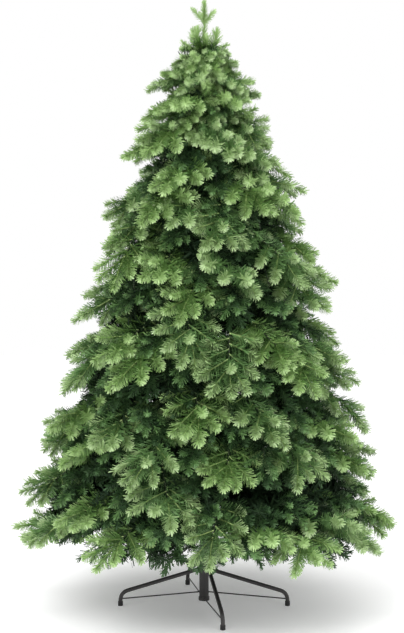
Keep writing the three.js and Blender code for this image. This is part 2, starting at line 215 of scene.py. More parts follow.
def make_drift_group():
    """Base colour that drifts a little between a duller and a fresher shade."""
    sizes = {"Dull": "Color", "Fresh": "Color", "Scale": "Float"}
    group, given = new_finish_group("colour_drift", sizes, {"Colour": "Color", "Mask": "Float"})
    place = put(group, "ShaderNodeTexCoord").outputs["Object"]
    noise = put(group, "ShaderNodeTexNoise", {"Vector": place, "Scale": given["Scale"], "Detail": 2.0})
    spread = {"Value": noise.outputs[0], "From Min": 0.3, "From Max": 0.7}
    mask = put(group, "ShaderNodeMapRange", spread).outputs["Result"]
    # Inputs 6 and 7 of the mix are its two colours
    blend = {0: mask, 6: given["Dull"], 7: given["Fresh"]}
    mixed = put(group, "ShaderNodeMix", blend, data_type="RGBA")
    put(group, "NodeGroupOutput", {"Colour": result(mixed), "Mask": mask})
    return group


def make_pebble_group():
    """The height of a pebbled paint skin, and a roughness that varies with it."""
    sizes = {"Scale": "Float", "Roughness": "Float"}
    group, given = new_finish_group("pebbled_skin", sizes, {"Height": "Float", "Roughness": "Float"})
    place = put(group, "ShaderNodeTexCoord").outputs["Object"]
    noise = put(group, "ShaderNodeTexNoise", {"Vector": place, "Scale": given["Scale"], "Detail": 3.0})
    patches = put(group, "ShaderNodeTexNoise", {"Vector": place, "Scale": PATCH_SCALE, "Detail": 4.0})
    lift = maths(group, "MULTIPLY_ADD", patches.outputs[0], PATCH_SWING, given["Roughness"])
    worn = maths(group, "SUBTRACT", lift, PATCH_MEAN)
    put(group, "NodeGroupOutput", {"Height": noise.outputs[0], "Roughness": worn})
    return group


COLOUR_DRIFT = make_drift_group()
PEBBLED_SKIN = make_pebble_group()


# %% Plastic and paint
NEEDLE_DRIFT_SCALE = 30.0
STEEL_DRIFT_SCALE = 12.0
FLOOR_GLOW = 0.2


def new_finish(name, **plain):
    """A material and its shader, with uniform values set on the shader's own sockets."""
    material = bpy.data.materials.new(name)
    material.use_nodes = True
    shader = material.node_tree.nodes["Principled BSDF"]
    for label, value in plain.items():
        shader.inputs[label.replace("_", " ")].default_value = value
    return material, material.node_tree, shader


def drift_between(tree, dull, fresh, scale):
    """The colour of the shared drift, set to run between two shades."""
    shades = {"Dull": (*dull, 1), "Fresh": (*fresh, 1), "Scale": scale}
    return put(tree, "ShaderNodeGroup", shades, node_tree=COLOUR_DRIFT).outputs["Colour"]


def needle_plastic(name, dull, fresh, roughness, shine=0.5):
    material, tree, shader = new_finish(name, Roughness=roughness, Specular_IOR_Level=shine)
    colour = drift_between(tree, dull, fresh, NEEDLE_DRIFT_SCALE)
    tree.links.new(colour, shader.inputs["Base Color"])
    return material


def coated_steel(name, dull, fresh, roughness, pebbles, depth):
    material, tree, shader = new_finish(name, Specular_IOR_Level=0.5)
    colour = drift_between(tree, dull, fresh, STEEL_DRIFT_SCALE)
    grain = {"Scale": pebbles, "Roughness": roughness}
    skin = put(tree, "ShaderNodeGroup", grain, node_tree=PEBBLED_SKIN)
    relief = {"Height": skin.outputs["Height"], "Strength": 0.35, "Distance": depth}
    bump = put(tree, "ShaderNodeBump", relief)
    tree.links.new(colour, shader.inputs["Base Color"])
    tree.links.new(skin.outputs["Roughness"], shader.inputs["Roughness"])
    tree.links.new(bump.outputs["Normal"], shader.inputs["Normal"])
    return material


NEW_TIPS = needle_plastic("needles_new", (0.27, 0.43, 0.14), (0.40, 0.57, 0.235), 0.40, 0.9)
PALE_TIPS = needle_plastic("needles_pale", (0.27, 0.41, 0.155), (0.41, 0.56, 0.265), 0.38, 0.9)
GROWN_TIPS = needle_plastic("needles_grown", (0.11, 0.23, 0.06), (0.19, 0.33, 0.09), 0.45)
# A duller green for some palms in the light, and also painted half shade on the ends of drawn-in palms
DULL_AND_HALF_SHADED_TIPS = needle_plastic("needles_dull", (0.085, 0.185, 0.055), (0.15, 0.28, 0.09), 0.45)
# Painted shade: the darkest tip green, for tips deep in the crown
SHADED_TIPS = needle_plastic("needles_shaded", (0.034, 0.082, 0.029), (0.058, 0.125, 0.041), 0.5, 0.3)
# Partly the foil's own dark green, partly painted shade: darkened to near black
SHADE_DARKENED_LINING = needle_plastic("needles_lining", (0.010, 0.026, 0.012), (0.024, 0.048, 0.018), 0.6, 0.12)
SHOOT_STEM = needle_plastic("shoot_stem", (0.30, 0.42, 0.13), (0.40, 0.52, 0.20), 0.5)
WRAPPED_WIRE = needle_plastic("wrapped_wire", (0.03, 0.055, 0.025), (0.06, 0.08, 0.04), 0.6)
POLE_COAT = coated_steel("pole_coat", (0.012, 0.03, 0.016), (0.02, 0.042, 0.024), 0.42, 900, 0.0002)
STAND_COAT = coated_steel("stand_coat", (0.026, 0.024, 0.024), (0.045, 0.041, 0.042), 0.4, 1100, 0.0003)
CAP_PLASTIC = coated_steel("cap_plastic", (0.010, 0.010, 0.010), (0.018, 0.018, 0.018), 0.55, 500, 0.0002)
FLOOR_PAINT = needle_plastic("floor_paint", (0.90, 0.90, 0.90), (0.93, 0.93, 0.93), 0.7)
glow = {"Emission Color": (1, 1, 1, 1), "Emission Strength": FLOOR_GLOW}
for label, value in glow.items():
    FLOOR_PAINT.node_tree.nodes["Principled BSDF"].inputs[label].default_value = value

# %% [markdown]
# The floor is a wide round disc, so that none of its edge comes near the tree. It glows a
# little, which keeps it as pale as the room and leaves only a soft shadow under the stand.


# %% Floor
def mesh_from(name, points, faces, edges=()):
    mesh = bpy.data.meshes.new(name)
    mesh.from_pydata([tuple(p) for p in points], edges, faces)
    mesh.update()
    return mesh


FLOOR_RADIUS = 16.0
FLOOR_SIDES = 96
turns = [2 * math.pi * i / FLOOR_SIDES for i in range(FLOOR_SIDES)]
rim = [(FLOOR_RADIUS * math.cos(t), FLOOR_RADIUS * math.sin(t), 0) for t in turns]
floor = bpy.data.objects.new("studio_floor", mesh_from("studio_floor", rim, [range(FLOOR_SIDES)]))
floor.data.materials.append(FLOOR_PAINT)
bpy.context.scene.collection.objects.link(floor)

# %% [markdown]
# Two trees do nearly all of the growing. The first sweeps a round section along wires, and
# can ripple the thickness, as a wire does when a strip of foil is wound round it. The second
# sets needles along a stem. Each one is turned on from the last by the golden angle, so no
# two lie in line, and they lean further forward towards the tip.

# %% Tree: wire with a wound ripple
GOLDEN_TURN = math.pi * (3 - math.sqrt(5))


def make_wire_tree():
    sizes = {"Sides": "Int", "Step": "Float", "Pitch": "Float", "Ripple": "Float"}
    tree, given = new_tree("wound_wire", sizes | {"Material": "Material"})
    thick = put(tree, "GeometryNodeInputNamedAttribute", {"Name": "thick"}, data_type="FLOAT")
    curve = put(tree, "GeometryNodeMeshToCurve", {"Mesh": given["Geometry"]})
    sized = {"Curve": result(curve), "Radius": result(thick)}
    curve = put(tree, "GeometryNodeSetCurveRadius", sized)
    stepped = {"Curve": result(curve), "Length": given["Step"]}
    curve = put(tree, "GeometryNodeResampleCurve", stepped, mode="LENGTH")
    along = put(tree, "GeometryNodeSplineParameter").outputs["Length"]
    turns = maths(tree, "MULTIPLY", maths(tree, "DIVIDE", along, given["Pitch"]), 2 * math.pi)
    swell = maths(tree, "MULTIPLY_ADD", maths(tree, "SINE", turns), given["Ripple"], 1.0)
    radius = maths(tree, "MULTIPLY", result(put(tree, "GeometryNodeInputRadius")), swell)
    ring = put(tree, "GeometryNodeCurvePrimitiveCircle", {"Resolution": given["Sides"], "Radius": 1.0})
    tube = {"Curve": result(curve), "Profile Curve": result(ring), "Scale": radius, "Fill Caps": True}
    tube = put(tree, "GeometryNodeCurveToMesh", tube)
    smooth = put(tree, "GeometryNodeSetShadeSmooth", {"Geometry": result(tube)})
    end_tree(tree, result(smooth), given["Material"])
    return tree


# %% Tree: needles along a stem
TURN_SWAY = 0.4
LEAN_SWAY = 0.14
ROLL_SWAY = 0.3
LENGTH_RANGE = (0.92, 1.08)
LONGEST_AT = 0.45
LATE_POWER = 3.0


def make_needle_tree():
    sizes = {"Needle": "Object", "Spacing": "Float", "Start": "Float", "End": "Float", "Up": "Vector"}
    sizes |= {"Foot Lean": "Float", "Tip Lean": "Float", "Tip Fan": "Float"}
    sizes |= {"Parting": "Float", "Taper": "Float"}
    tree, given = new_tree("needled_stem", sizes | {"Seed": "Int", "Material": "Material"})
    curve = put(tree, "GeometryNodeMeshToCurve", {"Mesh": given["Geometry"]})
    # Inputs 2 and 3 of the trim are the shares of the stem where it starts and ends
    cut = {"Curve": result(curve), 2: given["Start"], 3: given["End"]}
    curve = put(tree, "GeometryNodeTrimCurve", cut, mode="FACTOR")
    stepped = {"Curve": result(curve), "Length": given["Spacing"]}
    curve = put(tree, "GeometryNodeResampleCurve", stepped, mode="LENGTH")

    def drawn(low, high, salt):
        """A number drawn for each needle. Inputs 2 and 3 of the node are its limits."""
        limits = {2: low, 3: high, "Seed": maths(tree, "ADD", given["Seed"], salt)}
        return result(put(tree, "FunctionNodeRandomValue", limits, data_type="FLOAT"))

    # How far along the whole stem this needle stands, from 0 to 1
    factor = put(tree, "GeometryNodeSplineParameter").outputs["Factor"]
    span = maths(tree, "SUBTRACT", given["End"], given["Start"])
    share = maths(tree, "MULTIPLY_ADD", factor, span, given["Start"])
    index = result(put(tree, "GeometryNodeInputIndex"))
    angle = maths(tree, "MULTIPLY_ADD", index, GOLDEN_TURN, drawn(-TURN_SWAY, TURN_SWAY, 1))
    # Needles part along the top of the stem, and crowd to its sides
    parted = maths(tree, "MULTIPLY", maths(tree, "COSINE", angle), given["Parting"])
    angle = maths(tree, "SUBTRACT", angle, parted)
    lean_span = maths(tree, "SUBTRACT", given["Tip Lean"], given["Foot Lean"])
    late = maths(tree, "POWER", share, LATE_POWER)
    lean = maths(tree, "MULTIPLY_ADD", late, lean_span, given["Foot Lean"])
    loose = maths(tree, "MULTIPLY_ADD", late, given["Tip Fan"], LEAN_SWAY)
    lean = maths(tree, "MULTIPLY_ADD", loose, drawn(-1.0, 1.0, 2), lean)
    # Shorter at both ends of the stem than in its middle
    offset = maths(tree, "POWER", maths(tree, "SUBTRACT", share, LONGEST_AT), 2.0)
    full = drawn(*LENGTH_RANGE, 3)
    length = maths(tree, "SUBTRACT", full, maths(tree, "MULTIPLY", offset, given["Taper"]))
    tangent = result(put(tree, "GeometryNodeInputTangent"))
    axes = {"Primary Axis": tangent, "Secondary Axis": given["Up"]}
    stem_turn = put(tree, "FunctionNodeAxesToRotation", axes, primary_axis="Z", secondary_axis="Y")
    euler = put(tree, "ShaderNodeCombineXYZ", {"X": drawn(-ROLL_SWAY, ROLL_SWAY, 4), "Y": lean, "Z": angle})
    needle_turn = put(tree, "FunctionNodeEulerToRotation", {"Euler": result(euler)})
    turns = {"Rotation": result(stem_turn), "Rotate By": result(needle_turn)}
    turn = put(tree, "FunctionNodeRotateRotation", turns, rotation_space="LOCAL")
    size = put(tree, "ShaderNodeCombineXYZ", {"X": 1.0, "Y": 1.0, "Z": length})
    needle = put(tree, "GeometryNodeObjectInfo", {"Object": given["Needle"], "As Instance": True})
    dealt = {"Points": result(curve), "Instance": needle.outputs["Geometry"]}
    dealt |= {"Rotation": result(turn), "Scale": result(size)}
    end_tree(tree, result(put(tree, "GeometryNodeInstanceOnPoints", dealt)), given["Material"])
    return tree


WOUND_WIRE = make_wire_tree()
NEEDLED_STEM = make_needle_tree()

# %% [markdown]
# A third tree deals finished tips out over points. The turn, size and kind of each tip are
# read from its point, so a tip is made once and placed many times.


# %% Tree: deal ready-made tips out over points
def make_deal_tree():
    tree, given = new_tree("dealt_tips", {"Tips": "Collection", "Material": "Material"})
    read = {}
    for label, kind in (("turn", "QUATERNION"), ("size", "FLOAT_VECTOR"), ("kind", "INT")):
        node = put(tree, "GeometryNodeInputNamedAttribute", data_type=kind)
        node.inputs["Name"].default_value = label
        read[label] = result(node)
    tips = {"Collection": given["Tips"], "Separate Children": True, "Reset Children": True}
    tips = put(tree, "GeometryNodeCollectionInfo", tips)
    dealt = {"Points": given["Geometry"], "Instance": result(tips), "Pick Instance": True}
    dealt |= {"Instance Index": read["kind"], "Rotation": read["turn"], "Scale": read["size"]}
    end_tree(tree, result(put(tree, "GeometryNodeInstanceOnPoints", dealt)), given["Material"])
    return tree


DEALT_TIPS = make_deal_tree()
print("trees:", [t.name for t in (WOUND_WIRE, NEEDLED_STEM, DEALT_TIPS)])

# %% [markdown]
# A needle is a narrow blade of two faces, twisted a little from foot to point so that it
# catches the light along part of its length. A moulded tip is a finger some 9 cm long with
# such needles all round. Five kinds differ in bend, length and seed. Each is made as five
# parts, because their greens differ: the grown foot, the fresh end and the stem of a tip in
# the light, and the foot and end of a tip in the shade, which has fewer and broader needles.


# %% The needle and the moulded tips
def needle_shape(name, length, width, blunt=0.28, twist=0.5):
    """A blade of two faces along +Z. Blunt is the width of its end as a share."""
    half = width / 2
    end = blunt * half
    points = [(0, -half, 0), (0, half, 0)]
    points.append((end * math.sin(twist), end * math.cos(twist), length))
    points.append((-end * math.sin(twist), -end * math.cos(twist), length))
    return bpy.data.objects.new(name, mesh_from(name, points, [(0, 1, 2), (0, 2, 3)]))


TIP_LENGTH = 0.104
STEM_SHARE = 0.86
TIP_NEEDLE = needle_shape("tip_needle", 0.025, 0.0031, blunt=0.6)
FRESH_NEEDLE = needle_shape("fresh_needle", 0.022, 0.0026, blunt=0.75)
SHADED_NEEDLE = needle_shape("shaded_needle", 0.025, 0.0048, blunt=0.6)
LINING_NEEDLE = needle_shape("lining_needle", 0.040, 0.0045)
# Broad strips on the inner twigs: dark sheets of painted shade that fill the inside
LINING_AND_SHADE_STRIP = needle_shape("lining_strip", 0.054, 0.0110)
BOUGH_STRIP = needle_shape("bough_strip", 0.065, 0.0085)
# Length as a share, and bend in m
TIP_KINDS = [(1.0, -0.010), (0.94, -0.004), (1.06, -0.014), (0.9, 0.004), (1.0, 0.0)]
# Shares of the stem where the needles start, turn fresh and end
NEEDLES_FROM = 0.02
FRESH_FROM = 0.58
NEEDLES_TO = 0.99
GROWN_SPACING = 0.00078
FRESH_SPACING = 0.00042
SHADED_FOOT_SPACING = 0.0021
SHADED_END_SPACING = 0.0014
TIP_LEANS = {"foot_lean": 1.0, "tip_lean": 0.75, "tip_fan": 0.2, "taper": 1.4, "up": (0, 1, 0)}


def path_mesh(name, paths):
    """Separate open lines as one mesh, with the wire's thickness at each point."""
    points = []
    edges = []
    radii = []
    for path in paths:
        first = len(points)
        points += [place for place, _ in path]
        radii += [radius for _, radius in path]
        edges += [(i, i + 1) for i in range(first, len(points) - 1)]
    mesh = mesh_from(name, points, [], edges)
    thick = mesh.attributes.new("thick", "FLOAT", "POINT")
    thick.data.foreach_set("value", radii)
    return mesh


def tip_path(long, bend):
    """A tip's stem along +Z from its root, bending along Y."""
    shares = (0, 0.35, 0.7, 1)
    radii = (0.0021, 0.0018, 0.0013, 0.0007)
    places = [Vector((0, bend * s * s, long * STEM_SHARE * TIP_LENGTH * s)) for s in shares]
    return list(zip(places, radii))


def make_tip_parts():
    """Collections of tips by part, with one object for each kind of tip."""
    labels = ("grown", "fresh", "stem", "shaded_foot", "shaded_end")
    parts = {label: bpy.data.collections.new("tips_" + label) for label in labels}
    for kind, (long, bend) in enumerate(TIP_KINDS):
        stem = path_mesh("tip_path", [tip_path(long, bend)])
        name = f"tip_{kind}"
        leans = TIP_LEANS | {"seed": 11 * kind + 3}
        lower = {"start": NEEDLES_FROM, "end": FRESH_FROM} | leans
        upper = {"start": FRESH_FROM, "end": NEEDLES_TO} | leans
        dim = {"needle": SHADED_NEEDLE, "parting": 0.3}
        grown = grow(name + "_grown", stem, NEEDLED_STEM, needle=TIP_NEEDLE, parting=0.45,
                     spacing=GROWN_SPACING, material=GROWN_TIPS, **lower)
        fresh = grow(name + "_fresh", stem, NEEDLED_STEM, needle=FRESH_NEEDLE, parting=0.3,
                     spacing=FRESH_SPACING, material=NEW_TIPS, **upper)
        bare = grow(name + "_stem", stem, WOUND_WIRE, sides=3, step=0.03, pitch=1.0, ripple=0.0,
                    material=SHOOT_STEM)
        foot = grow(name + "_shaded_foot", stem, NEEDLED_STEM, spacing=SHADED_FOOT_SPACING,
                    material=SHADED_TIPS, **dim, **lower)
        end = grow(name + "_shaded_end", stem, NEEDLED_STEM, spacing=SHADED_END_SPACING,
                   material=GROWN_TIPS, **dim, **upper)
        for label, made in zip(labels, (grown, fresh, bare, foot, end)):
            parts[label].objects.link(made)
    return parts


TIP_PARTS = make_tip_parts()
for label, part in TIP_PARTS.items():
    print(label, [len(tip.data.polygons) for tip in part.objects])

# %% [markdown]
# The rule that placed the solids is written again here. Boughs hang in nine tiers. Each
# keeps to a sector of its tier and ends its sprays in two rows on the crown's outline. The
# draws come from the same seeds, so every spray has its stalk where the solid one has.

# %% The crown's outline and tiers
APEX_HEIGHT = 2.300
CONE_DEPTH = 2.000
SPREAD_RADIUS = 0.746
WIDEST_HEIGHT = 0.270
OUTLINE_POWER = 0.75
SKIRT_SLOPE = 1.9
REACH_PASSES = 12
BOUGHS_PER_TIER = [6, 6, 5, 5, 5, 4, 3, 3, 3]
CROWN_FOOT = 0.305
LOWEST_TIER_DEPTH = 0.228
TOP_TIER_DEPTH = 0.165
FIRST_TURN = math.radians(10)
TIER_TURN = math.radians(157.5)
RISE_AT_FOOT = 0.22
RISE_LINEAR = 0.25
RISE_CUBIC = 0.5
DROOP_AT_FOOT = 0.5
DROOP_LOST = 0.15
# Top and radius of each tube of the pole, and the radius of the rod above them
POLE_STEPS = [(0.860, 0.016), (1.500, 0.0142), (1.880, 0.0124)]
ROD_RADIUS = 0.005

TIERS = len(BOUGHS_PER_TIER)
TIER_EDGES = [CROWN_FOOT]
for tier in range(TIERS):
    depth = LOWEST_TIER_DEPTH + (TOP_TIER_DEPTH - LOWEST_TIER_DEPTH) * tier / (TIERS - 1)
    TIER_EDGES.append(TIER_EDGES[tier] + depth)
CROWN_TOP = TIER_EDGES[-1]


def outline_radius(height):
    share = max(0.0, (APEX_HEIGHT - height) / CONE_DEPTH)
    cone = SPREAD_RADIUS * share**OUTLINE_POWER
    skirt = SPREAD_RADIUS - SKIRT_SLOPE * (WIDEST_HEIGHT - height)
    return max(0.0, min(cone, skirt))


def bough_height(foot, radius):
    share = (foot - CROWN_FOOT) / (CROWN_TOP - CROWN_FOOT)
    rise = RISE_AT_FOOT + RISE_LINEAR * share + RISE_CUBIC * share**3
    return foot + rise * radius - (DROOP_AT_FOOT - DROOP_LOST * share) * radius**2


def pole_radius_at(height):
    return next((radius for top, radius in POLE_STEPS if height < top), ROD_RADIUS)


def draw_from(seed):
    """A seeded draw of numbers from 0 to 1, the same on every run."""
    state = seed

    def draw():
        nonlocal state
        state = (state * 1664525 + 1013904223) % 2**32
        return state / 2**32

    return draw


def sway(draw, span):
    """A drawn number from half the span below zero to half the span above."""
    return span * (draw() - 0.5)


def ranged(draw, low, spread):
    """A drawn number from low to low and the spread."""
    return low + spread * draw()


# %% A bough's space and its sprays
SPRAY_LENGTH = 0.160
SPRAY_SHARE = 0.44
CORE_INSET = 0.85
LEVELS = [0.46, -0.44]
SPRAY_SPACING = 1.16
ROOT_SINK = 0.034
STAGGER = 0.25
COLUMN_SWAY = 0.16
REACH_LOSS = 0.18
SPRAY_ROLL = 0.6
ROOT_TURN = 0.96
# A spray's root stands at this level, plus this share of the level of its end
ROOT_LEVEL = (0.14, 0.7)


class BoughSpace:
    """The sector of a tier that one bough grows in, with the bough along +X."""

    def __init__(self, tier):
        self.low = TIER_EDGES[tier]
        self.high = TIER_EDGES[tier + 1]
        self.middle = (self.low + self.high) / 2
        self.half_turn = math.pi / BOUGHS_PER_TIER[tier]
        self.pole_clear = pole_radius_at(self.low)
        self.spray_length = min(SPRAY_LENGTH, SPRAY_SHARE * self.reach(0))
        self.core_reach = self.reach(0) - CORE_INSET * self.spray_length

    def at(self, radius, turn, level):
        foot = self.middle + level * (self.high - self.low) / 2
        return Vector((radius * math.cos(turn), radius * math.sin(turn), bough_height(foot, radius)))

    def reach(self, level):
        radius = SPREAD_RADIUS / 2
        for _ in range(REACH_PASSES):
            radius = (radius + outline_radius(self.at(radius, 0, level).z)) / 2
        return radius


def sprays_of(tier, bough, space):
    """Root and end of each spray, and its roll, by the same draws as the solids."""
    draw = draw_from(1000 * (tier + 1) + 10 * bough + 7)
    low, rise = ROOT_LEVEL
    columns = round(2 * space.half_turn * space.reach(0) / (SPRAY_SPACING * space.spray_length))
    for row, level in enumerate(LEVELS):
        for column in range(columns):
            across = 2 * (column + 0.5 + sway(draw, COLUMN_SWAY)) / columns - 1
            out = space.reach(level) - REACH_LOSS * space.spray_length * draw()
            roll = sway(draw, SPRAY_ROLL)
            turn = across * space.half_turn
            root = space.at(space.core_reach - ROOT_SINK, ROOT_TURN * turn, low + rise * level)
            aside = math.copysign(STAGGER * 2 * space.half_turn / columns, level)
            yield root, space.at(out, turn + aside, level), roll, (row + column) % 2 == 0


# %% [markdown]
# A spray ends in a palm, a fan of tips on one hanging stem, often with one more that stands
# up. Proud palms of nine tips take turns with modest ones of seven that are drawn in and,
# below the open top, get darker tips as painted shade. Palms of five stand further in, with
# tips of painted shade, lighter near the top, and short lined twigs fill the inside. Tables
# by height say how palms hang and how far they stand out on either side. The growers only
# gather lines for the wires, and the place, turn and size of each tip.

# %% Grow the sprays
from collections import namedtuple

# For each pair of tips the opening in radians, the distance back in m and the length's share
PALM_FAN = [(0.0, 0.0, 1.0), (0.50, 0.014, 1.0), (0.90, 0.040, 1.02), (1.18, 0.072, 1.0), (1.42, 0.106, 0.92)]
TOP_SHARE = 0.6
# Height in m with a value: lift in m, roll in radians, pitch in degrees and push in m
LIFT_BY_HEIGHT = [(0.20, 0.02), (0.27, 0.04), (0.31, 0.042), (0.42, 0.0), (1.85, 0.0)]
LIFT_BY_HEIGHT += [(1.96, -0.022), (2.10, -0.085), (2.18, -0.15)]
ROLL_BY_HEIGHT = [(0.9, 0.3), (1.5, 0.6), (1.9, 1.2)]
PITCH_BY_HEIGHT = [(0.0, 42), (0.24, 26), (0.34, 12), (0.55, 18), (0.9, 21), (1.4, 20), (1.9, 10), (2.1, 2)]
FRONT_PITCH = [(0.3, 0), (0.55, 15), (0.9, 20), (1.6, 20), (1.9, 10), (2.1, 0)]
PUSH_LEFT = [(0.2, -0.02), (0.36, 0.0), (0.5, -0.02), (1.0, 0.0), (1.5, -0.005), (1.9, 0.02), (2.06, -0.03)]
PUSH_RIGHT = [(0.2, 0.012), (0.5, 0.02), (1.1, 0.03), (1.3, 0.02), (1.5, 0.04), (1.85, 0.02), (2.06, 0.015)]
# The right side hangs lower and the left side higher, in the skirt and above the middle
SIDE_TILT = [(0.2, 0.025), (0.4, 0.02), (0.6, 0.0), (1.35, 0.0), (1.6, 0.035), (1.74, 0.03), (1.9, 0.0)]
# How far a palm stands out in m, its size as a share, and its pairs of tips
PROUD = (0.012, 1.40, 4)
MODEST = (-0.075, 0.86, 3)
# Below this height drawn-in palms get darker tips as painted shade
OPEN_HEIGHT = 1.7
INNER_PAIRS = 2
# Level in the tier, from -1 to 1, and depth behind the outline in m
INNER_ROWS = [(0.02, 0.125), (-0.98, 0.125)]
SKIRT_ROWS = [(0.02, 0.125), (-0.98, 0.055), (-0.5, 0.11), (-0.9, 0.15), (-0.75, 0.25)]
INNER_SHARE = 0.28
INNER_SINK = 0.03
INNER_ROLL = 0.4
FILL_LENGTH = 0.16
FILL_DEPTH = 0.18
FILL_FLOOR = 0.285
FILL_PER_METRE = 78
FILL_PER_TWIG = 4
FILL_RISE = 2.6
FILL_ASIDE = 1.6
FILL_SIZE = (0.7, 0.6)
LEAST_OUTWARD = 0.2
SHORTEST_FILL = 0.04
FILL_RADII = (0.0017, 0.0012)
TWIG_RADII = (0.0026, 0.0024, 0.0022, 0.0020, 0.0017)
TWIG_ARCH = 0.02
BOUGH_SHARES = [0, 0.15, 0.3, 0.45, 0.6, 0.75, 0.9]
BOUGH_RADIUS = 0.0042
BOUGH_THINNING = 0.0016
# Palms are smaller near the top, where sprays are shorter
LEAST_SCALE = 0.42
SCALE_PER_METRE = 3.9
# How far a palm and its tips are drawn from their places, in radians, m or shares
PITCH_SWAY = 0.5
SIDE_SWAY = 0.05
HEIGHT_SWAY = 0.055
PALM_SIZE = (0.88, 0.24)
OPENING_SWAY = 0.26
DROP_SWAY = 0.36
DROP_BY_OPENING = 0.1
LENGTH_SWAY = 0.2
GIRTH = (0.94, 0.28)
HAND_STEP = 0.008
# The tip that stands up on a palm
UPPER_ASIDE = 1.2
UPPER_RISE = 0.6
UPPER_BACK = 0.03
UPPER_LENGTH = (0.62, 0.2)
UPPER_GIRTH = 0.85


def read_off(table, height):
    return float(np.interp(height, *zip(*table)))


def placed(about, root, end):
    """A spray turned to its bough's place, and lifted or lowered to suit its height."""
    root, end = about @ root, about @ end
    right = (end.x / math.hypot(end.x, end.y)) ** 3
    lift = Vector((0, 0, read_off(LIFT_BY_HEIGHT, end.z) - right * read_off(SIDE_TILT, end.z)))
    return root + lift, end + lift


def push_at(place):
    """How far palms stand out past the solids' reach, which differs from left to right."""
    right = 0.5 + 0.5 * place.x / math.hypot(place.x, place.y)
    return (1 - right) * read_off(PUSH_LEFT, place.z) + right * read_off(PUSH_RIGHT, place.z)


def pitch_at(place):
    """How far palms hang below level, in radians. They hang further on the front."""
    front = max(0.0, -place.y / math.hypot(place.x, place.y))
    return math.radians(read_off(PITCH_BY_HEIGHT, place.z) + front * read_off(FRONT_PITCH, place.z))


def aimed(along, pitch):
    """A direction over the floor like another's, tilted down by an angle."""
    level = Vector((along.x, along.y, 0)).normalized()
    return level * math.cos(pitch) - Vector((0, 0, math.sin(pitch)))


def frame_of(forward, roll):
    """Side and up vectors for a direction, rolled about it."""
    side = Vector((0, 0, 1)).cross(forward).normalized()
    side.rotate(Quaternion(forward, roll))
    return side, forward.cross(side)


class Growth:
    """What has grown so far: lines for the wires, and tips by how much light they get."""

    def __init__(self):
        self.boughs = []
        self.twigs = []
        self.fill = []
        self.outer = []
        self.modest = []
        self.inner = []


Tip = namedtuple("Tip", "spray root direction up length girth kind")


def add_tip(kept, spray, root, direction, up, length, girth, draw):
    kept.append(Tip(spray, root, direction.normalized(), up, length, girth, int(draw() * len(TIP_KINDS))))


def grow_palm(kept, pairs, end, forward, roll, scale, draw):
    """The fan of tips at the end of a spray. Returns the foot and end of its stem."""
    spray = kept[-1].spray + 1 if kept else 0
    axis = aimed(forward, pitch_at(end) + sway(draw, PITCH_SWAY))
    side, up = frame_of(axis, roll + sway(draw, read_off(ROLL_BY_HEIGHT, end.z)))
    size = scale * ranged(draw, *PALM_SIZE)
    palm = end - axis * (TIP_LENGTH * size) + side * sway(draw, SIDE_SWAY)
    palm += Vector((0, 0, sway(draw, HEIGHT_SWAY)))
    for rank, (opening, back, share) in enumerate(PALM_FAN[: pairs + 1]):
        for hand in (-1, 1) if rank else (1,):
            turn = hand * opening + sway(draw, OPENING_SWAY)
            drop = sway(draw, DROP_SWAY) - DROP_BY_OPENING * opening
            direction = axis * math.cos(turn) + side * math.sin(turn) + up * drop
            length = size * (share + sway(draw, LENGTH_SWAY))
            root = palm - axis * ((back + HAND_STEP * hand) * size)
            girth = scale * ranged(draw, *GIRTH)
            add_tip(kept, spray, root, direction, up, length, girth, draw)
    direction = axis + side * sway(draw, UPPER_ASIDE) + up * UPPER_RISE
    length = size * ranged(draw, *UPPER_LENGTH)
    if draw() < TOP_SHARE:
        root = palm - axis * UPPER_BACK
        add_tip(kept, spray, root, direction, up, length, scale * UPPER_GIRTH, draw)
    return palm - axis * (PALM_FAN[pairs][1] * size), palm


def grow_fill(growth, line, draw):
    """A short lined twig from somewhere along a line, out and up or down."""
    i = int(draw() * (len(line) - 1))
    foot = line[i].lerp(line[i + 1], draw())
    out = Vector((foot.x, foot.y, 0)).normalized()
    side = Vector((-out.y, out.x, 0))
    rise = sway(draw, FILL_RISE)
    way = (out + side * sway(draw, FILL_ASIDE) + Vector((0, 0, rise))).normalized()
    length = FILL_LENGTH * ranged(draw, *FILL_SIZE)
    room = outline_radius(foot.z + way.z * length) - FILL_DEPTH - math.hypot(foot.x, foot.y)
    length = min(length, max(0.0, room) / max(LEAST_OUTWARD, way.x * out.x + way.y * out.y))
    if length > SHORTEST_FILL and foot.z + way.z * length > FILL_FLOOR:
        growth.fill.append(list(zip((foot, foot + way * length), FILL_RADII)))


def inner_sprays(tier, space):
    """Rows of palms further in, behind the two outer rows and between tiers."""
    width = 2 * space.half_turn * space.reach(0)
    columns = max(2, round(width / (SPRAY_SPACING * space.spray_length)))
    for row, (level, depth) in enumerate(INNER_ROWS if tier else SKIRT_ROWS):
        for column in range(columns):
            turn = (2 * (column + 0.5 * row) / columns - 1) * space.half_turn
            root = space.at(space.core_reach - ROOT_SINK - INNER_SINK, turn, 0.5 * level)
            out = space.reach(level) - min(depth, INNER_SHARE * space.reach(level))
            yield root, space.at(out, turn, level), INNER_ROLL * (column % 2 - 0.5)


